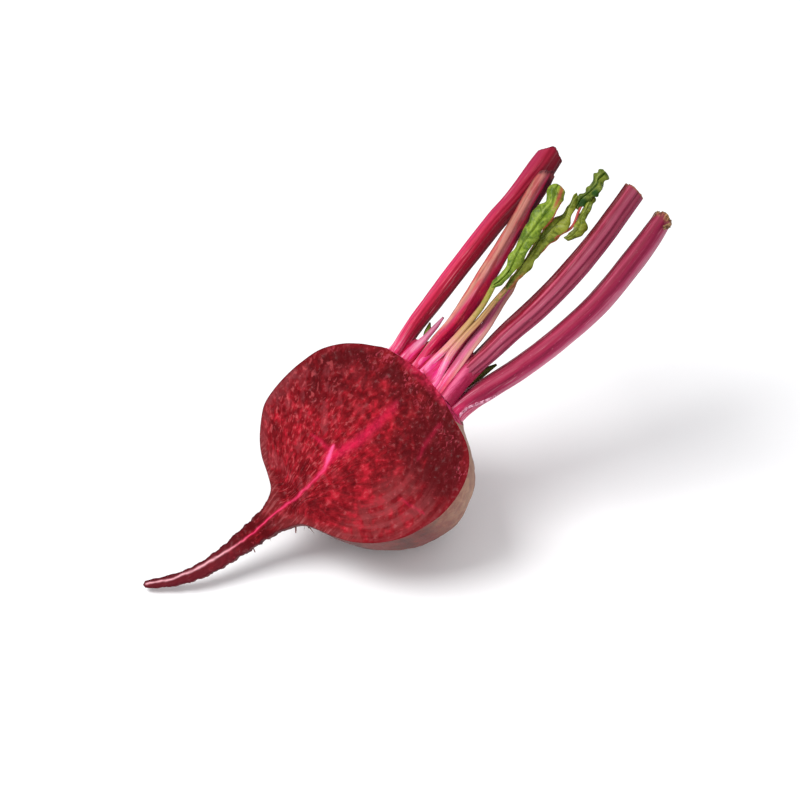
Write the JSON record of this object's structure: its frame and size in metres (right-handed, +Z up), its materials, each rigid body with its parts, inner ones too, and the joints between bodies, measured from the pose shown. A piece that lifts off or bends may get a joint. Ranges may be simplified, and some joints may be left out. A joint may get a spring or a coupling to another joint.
{
  "type": "halved beetroot",
  "caption": "Beetroot half cut lengthwise, dark red flesh up, with taproot, cut-back leaf stalks and young green leaves, lying on its skin.",
  "frame": {"origin": "the middle of the balance, on the small flat spot of the skin that the half lies on", "axes": "+Z up from the surface, +X roughly from the taproot towards the crown and stalks, so the cut face looks up and towards -Y"},
  "size_m": [0.1862, 0.1155, 0.1162],
  "materials": {
    "beet_root": "satin",
    "stalk_a": "satin",
    "stalk_b": "satin",
    "stalk_c": "satin",
    "stalk_d": "satin",
    "stalk_stub": "satin",
    "petiole_1": "satin",
    "petiole_2": "satin",
    "withered_stalk": "matte",
    "bud_1": "satin",
    "bud_2": "satin",
    "leaf_1": "satin",
    "leaf_2": "satin"
  },
  "bodies": {
    "root": {"root": "beet_root", "stalk_a": "stalk_a", "stalk_b": "stalk_b", "stalk_c": "stalk_c", "stalk_d": "stalk_d", "stalk_stub": "stalk_stub", "petiole_1": "petiole_1", "petiole_2": "petiole_2", "withered_stalk": "withered_stalk", "bud_1": "bud_1", "bud_2": "bud_2", "leaf_1": "leaf_1", "leaf_2": "leaf_2"}
  },
  "joints": []
}
